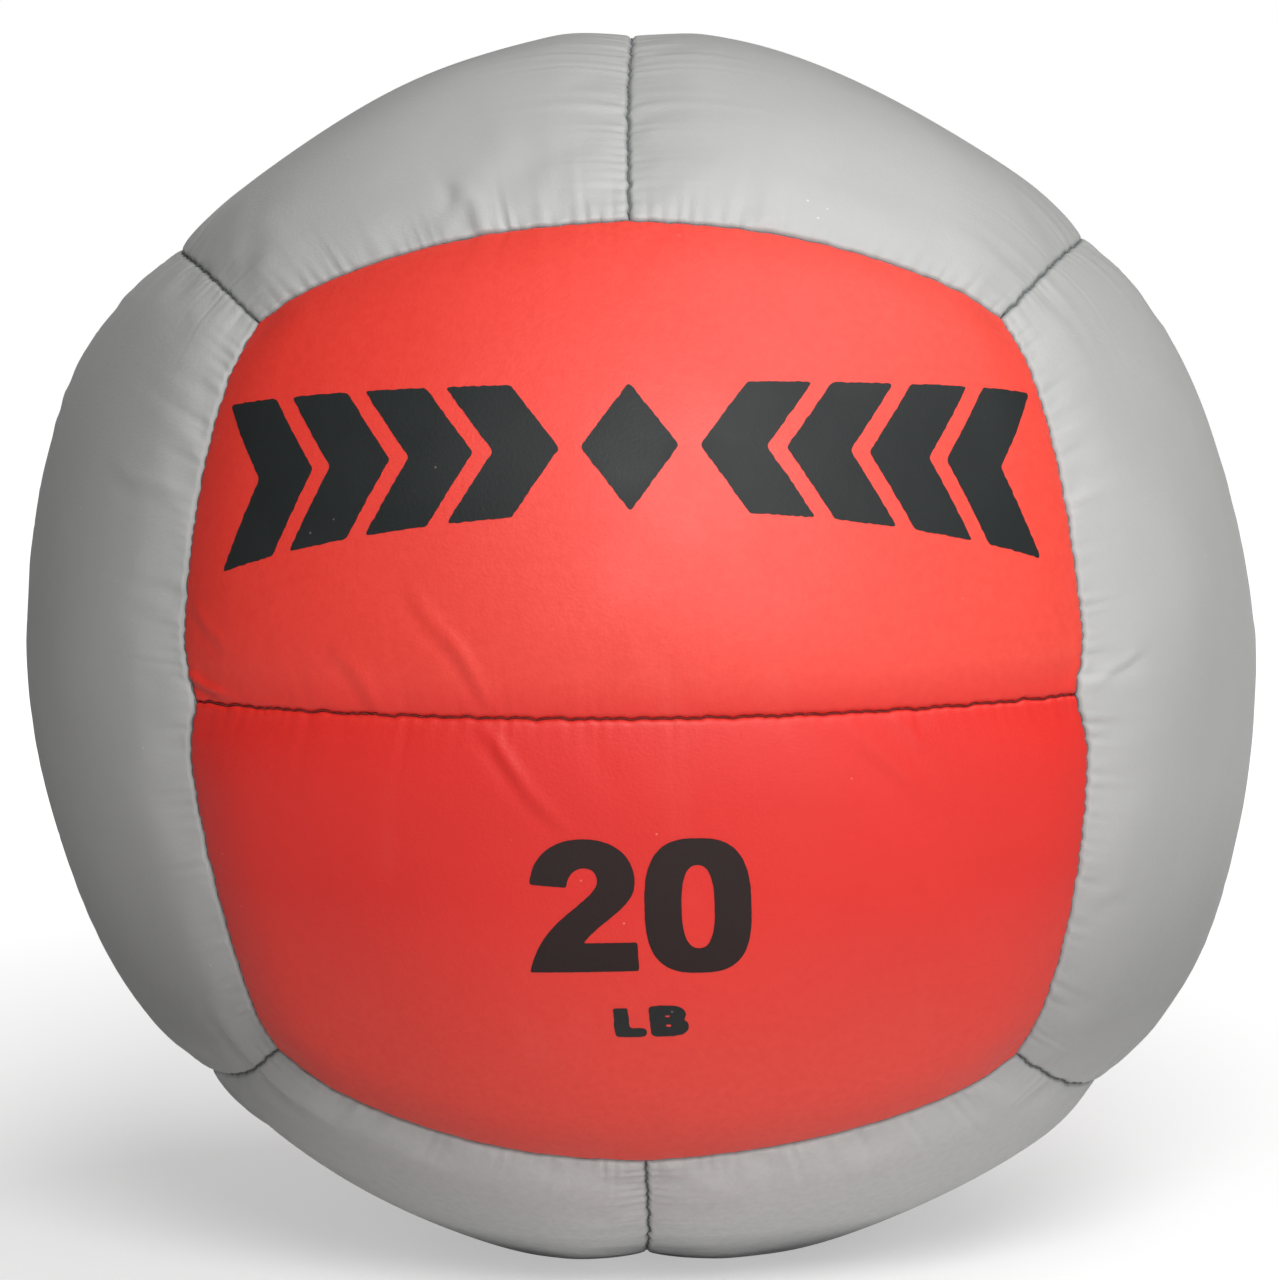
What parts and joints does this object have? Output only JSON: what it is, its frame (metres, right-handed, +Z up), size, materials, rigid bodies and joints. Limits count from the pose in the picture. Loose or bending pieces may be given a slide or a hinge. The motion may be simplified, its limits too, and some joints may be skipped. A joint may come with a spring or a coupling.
{
  "type": "medicine ball",
  "caption": "Soft-shell medicine ball with paired sewn vinyl panels over foam, fibre fill and an iron sand core.",
  "frame": {"origin": "on the floor, under the middle of the ball, in the plane of the patch that the weight flattens", "axes": "+Z up, through the middle of the ball; -Y towards the front, whose seam runs along X; +X to the right"},
  "size_m": [0.3556, 0.3556, 0.3533],
  "materials": {
    "red_vinyl": "satin",
    "grey_vinyl": "satin",
    "red_thread": "matte",
    "grey_thread": "matte",
    "foam": "matte",
    "lining": "matte",
    "fibre": "matte",
    "canvas": "matte",
    "nylon": "satin",
    "iron_sand": "matte"
  },
  "bodies": {
    "root": {"cover_front_lower": "red_vinyl", "cover_front_upper": "red_vinyl", "cover_back_lower": "red_vinyl", "cover_back_upper": "red_vinyl", "cover_left_front": "grey_vinyl", "cover_left_back": "grey_vinyl", "cover_right_front": "grey_vinyl", "cover_right_back": "grey_vinyl", "cover_bottom_left": "grey_vinyl", "cover_bottom_right": "grey_vinyl", "cover_top_left": "grey_vinyl", "cover_top_right": "grey_vinyl", "foam_front_lower": "foam", "foam_front_upper": "foam", "foam_back_lower": "foam", "foam_back_upper": "foam", "foam_left_front": "foam", "foam_left_back": "foam", "foam_right_front": "foam", "foam_right_back": "foam", "foam_bottom_left": "foam", "foam_bottom_right": "foam", "foam_top_left": "foam", "foam_top_right": "foam", "thread_middle_front": "red_thread", "thread_middle_back": "red_thread", "thread_middle_left": "grey_thread", "thread_middle_right": "grey_thread", "thread_middle_bottom": "grey_thread", "thread_middle_top": "grey_thread", "thread_left_to_bottom": "grey_thread", "thread_left_to_top": "grey_thread", "thread_right_to_bottom": "grey_thread", "thread_right_to_top": "grey_thread", "thread_front_to_left": "grey_thread", "thread_front_to_right": "grey_thread", "thread_back_to_left": "grey_thread", "thread_back_to_right": "grey_thread", "thread_bottom_to_front": "grey_thread", "thread_bottom_to_back": "grey_thread", "thread_top_to_front": "grey_thread", "thread_top_to_back": "grey_thread", "lining_upper": "lining", "lining_lower": "lining", "fibre_fill_upper": "fibre", "fibre_fill_lower": "fibre", "ballast_bag": "canvas", "ballast_bag_tie": "nylon", "ballast_sand": "iron_sand"}
  },
  "joints": []
}
